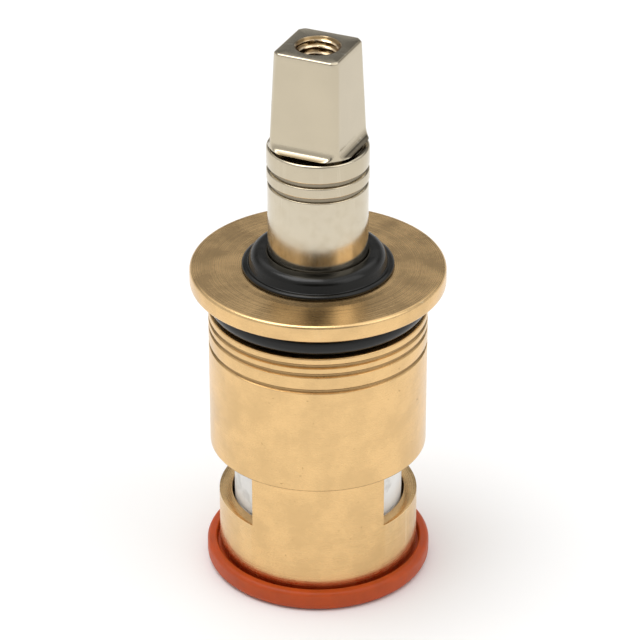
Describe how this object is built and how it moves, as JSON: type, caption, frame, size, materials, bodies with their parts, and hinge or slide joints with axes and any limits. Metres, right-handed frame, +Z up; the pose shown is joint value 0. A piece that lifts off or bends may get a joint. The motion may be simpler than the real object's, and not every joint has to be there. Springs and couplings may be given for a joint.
{
  "type": "faucet stem cartridge",
  "caption": "Quarter-turn ceramic disc tap cartridge: flanged brass body with side windows, tapered square plated stem, rubber stem ring and silicone seat gasket.",
  "frame": {"origin": "centre of the gasket's underside, the face that the cartridge stands and seals on", "axes": "+Z up the stem, towards the handle; +X and -X through the middles of the two water windows"},
  "size_m": [0.0286, 0.0286, 0.0645],
  "materials": {
    "turned_brass": "turned and lightly satin",
    "plated_brass": "nickel plated, bare brass in the tapped hole",
    "black_rubber": "smooth, slightly glossy",
    "orange_silicone": "smooth silicone",
    "black_acetal": "moulded",
    "white_acetal": "moulded",
    "white_ceramic": "ground alumina",
    "spring_steel": "bright"
  },
  "bodies": {
    "housing": {"valve_body": "turned_brass", "body_o_ring": "black_rubber", "seat_gasket": "orange_silicone", "gasket_stiffener": "black_acetal", "fixed_disc": "white_ceramic", "clip_washer": "turned_brass"},
    "stem": {"spindle": "plated_brass", "stem_o_ring_upper": "black_rubber", "stem_o_ring_lower": "black_rubber", "retaining_clip": "spring_steel", "stem_grommet": "black_rubber", "thrust_washer": "white_acetal", "disc_driver": "white_acetal", "moving_disc": "white_ceramic"}
  },
  "joints": [
    {"name": "stem_turn", "type": "hinge", "parent": "housing", "child": "stem", "pos_m": [0, 0, 0.03787], "axis": [0, 0, 1], "range_deg": [-90, 0]}
  ]
}
